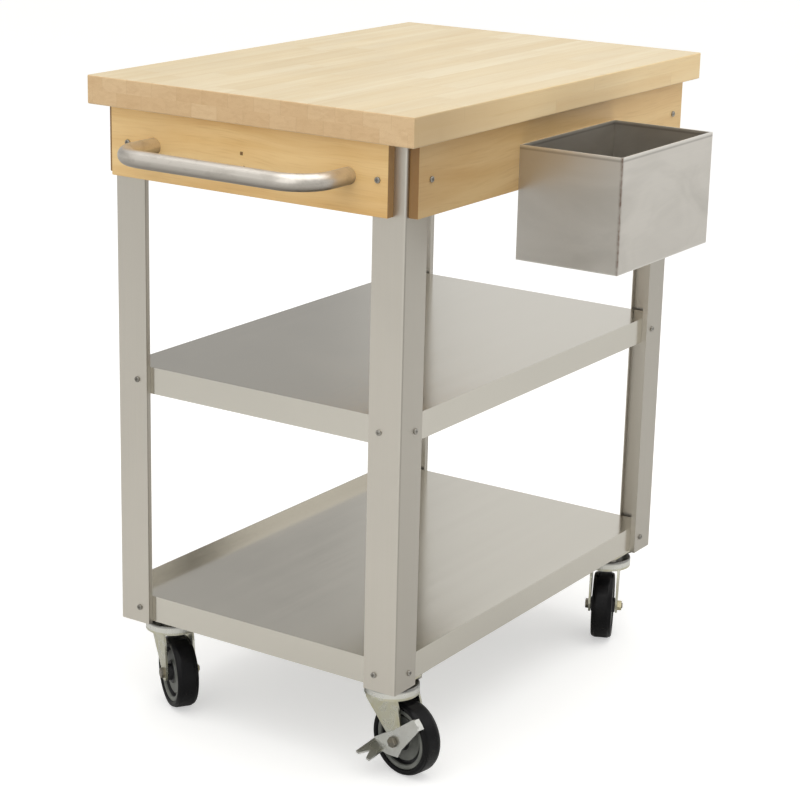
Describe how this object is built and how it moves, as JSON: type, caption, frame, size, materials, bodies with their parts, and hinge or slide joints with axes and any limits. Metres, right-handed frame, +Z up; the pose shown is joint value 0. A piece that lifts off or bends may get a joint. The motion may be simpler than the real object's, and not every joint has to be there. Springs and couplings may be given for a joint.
{
  "type": "kitchen island cart",
  "caption": "Rolling kitchen island cart with a butcher-block top, stainless angle legs, open pan shelves, a tube push handle, a side bin and swivel casters, some braked.",
  "frame": {"origin": "on the floor under the middle of the frame's four legs", "axes": "+X along the cart's length away from the push handle, +Y across the cart away from the side bin, +Z up"},
  "size_m": [0.8457, 0.6485, 0.89],
  "materials": {
    "block_wood": "oiled maple, long strips glued together",
    "apron_wood": "lacquered pine",
    "stainless_sheet": "fine brushed, soft reflections",
    "handle_steel": "polished tube, slightly mottled",
    "bin_steel": "fine brushed sheet with a bright rolled rim",
    "zinc_plate": "bright zinc plating, lightly yellowed",
    "fastener_steel": "plated fasteners",
    "tread_rubber": "smooth rubber with moulding lines",
    "core_plastic": "moulded grey plastic"
  },
  "bodies": {
    "frame": {"apron_back": "apron_wood", "apron_far_end": "apron_wood", "apron_front": "apron_wood", "apron_handle_end": "apron_wood", "apron_screws": "fastener_steel", "bin_screws": "fastener_steel", "bracket_screws": "fastener_steel", "butcher_block_top": "block_wood", "caster_back_left_top_plate": "zinc_plate", "caster_back_right_top_plate": "zinc_plate", "caster_bearing_balls": "fastener_steel", "caster_channel_left": "stainless_sheet", "caster_channel_right": "stainless_sheet", "caster_front_left_top_plate": "zinc_plate", "caster_front_right_top_plate": "zinc_plate", "caster_kingpins": "fastener_steel", "caster_mount_bolts": "fastener_steel", "caster_mount_nuts": "fastener_steel", "frame_nuts": "fastener_steel", "handle_screws": "fastener_steel", "leg_back_left": "stainless_sheet", "leg_back_right": "stainless_sheet", "leg_front_left": "stainless_sheet", "leg_front_right": "stainless_sheet", "lower_shelf": "stainless_sheet", "mid_shelf": "stainless_sheet", "push_handle": "handle_steel", "shelf_screws": "fastener_steel", "side_bin": "bin_steel", "top_brackets": "fastener_steel"},
    "swivel_front_left": {"caster_front_left_axle_bolt": "fastener_steel", "caster_front_left_axle_nut": "fastener_steel", "caster_front_left_axle_sleeve": "fastener_steel", "caster_front_left_fork": "zinc_plate"},
    "wheel_front_left": {"caster_front_left_wheel_core": "core_plastic", "caster_front_left_wheel_tread": "tread_rubber"},
    "brake_front_left": {"caster_front_left_brake_lever": "zinc_plate"},
    "swivel_back_left": {"caster_back_left_axle_bolt": "fastener_steel", "caster_back_left_axle_nut": "fastener_steel", "caster_back_left_axle_sleeve": "fastener_steel", "caster_back_left_fork": "zinc_plate"},
    "wheel_back_left": {"caster_back_left_wheel_core": "core_plastic", "caster_back_left_wheel_tread": "tread_rubber"},
    "swivel_front_right": {"caster_front_right_axle_bolt": "fastener_steel", "caster_front_right_axle_nut": "fastener_steel", "caster_front_right_axle_sleeve": "fastener_steel", "caster_front_right_fork": "zinc_plate"},
    "wheel_front_right": {"caster_front_right_wheel_core": "core_plastic", "caster_front_right_wheel_tread": "tread_rubber"},
    "swivel_back_right": {"caster_back_right_axle_bolt": "fastener_steel", "caster_back_right_axle_nut": "fastener_steel", "caster_back_right_axle_sleeve": "fastener_steel", "caster_back_right_fork": "zinc_plate"},
    "wheel_back_right": {"caster_back_right_wheel_core": "core_plastic", "caster_back_right_wheel_tread": "tread_rubber"},
    "brake_back_right": {"caster_back_right_brake_lever": "zinc_plate"}
  },
  "joints": [
    {"name": "swivel_turn_front_left", "type": "hinge", "parent": "frame", "child": "swivel_front_left", "pos_m": [-0.297, -0.187, 0.1195], "axis": [0, 0, 1], "continuous": true},
    {"name": "wheel_spin_front_left", "type": "hinge", "parent": "swivel_front_left", "child": "wheel_front_left", "pos_m": [-0.30324, -0.21634, 0.0508], "axis": [0.9781, -0.2079, 0], "continuous": true},
    {"name": "brake_tilt_front_left", "type": "hinge", "parent": "swivel_front_left", "child": "brake_front_left", "pos_m": [-0.30324, -0.21634, 0.0508], "axis": [0.9781, -0.2079, 0], "range_deg": [0, 18]},
    {"name": "swivel_turn_back_left", "type": "hinge", "parent": "frame", "child": "swivel_back_left", "pos_m": [-0.297, 0.187, 0.1195], "axis": [0, 0, 1], "continuous": true},
    {"name": "wheel_spin_back_left", "type": "hinge", "parent": "swivel_back_left", "child": "wheel_back_left", "pos_m": [-0.31378, 0.16213, 0.0508], "axis": [0.829, -0.5592, 0], "continuous": true},
    {"name": "swivel_turn_front_right", "type": "hinge", "parent": "frame", "child": "swivel_front_right", "pos_m": [0.297, -0.187, 0.1195], "axis": [0, 0, 1], "continuous": true},
    {"name": "wheel_spin_front_right", "type": "hinge", "parent": "swivel_front_right", "child": "wheel_front_right", "pos_m": [0.26981, -0.19968, 0.0508], "axis": [0.4226, -0.9063, 0], "continuous": true},
    {"name": "swivel_turn_back_right", "type": "hinge", "parent": "frame", "child": "swivel_back_right", "pos_m": [0.297, 0.187, 0.1195], "axis": [0, 0, 1], "continuous": true},
    {"name": "wheel_spin_back_right", "type": "hinge", "parent": "swivel_back_right", "child": "wheel_back_right", "pos_m": [0.282, 0.16102, 0.0508], "axis": [0.866, -0.5, 0], "continuous": true},
    {"name": "brake_tilt_back_right", "type": "hinge", "parent": "swivel_back_right", "child": "brake_back_right", "pos_m": [0.282, 0.16102, 0.0508], "axis": [0.866, -0.5, 0], "range_deg": [0, 18]}
  ]
}
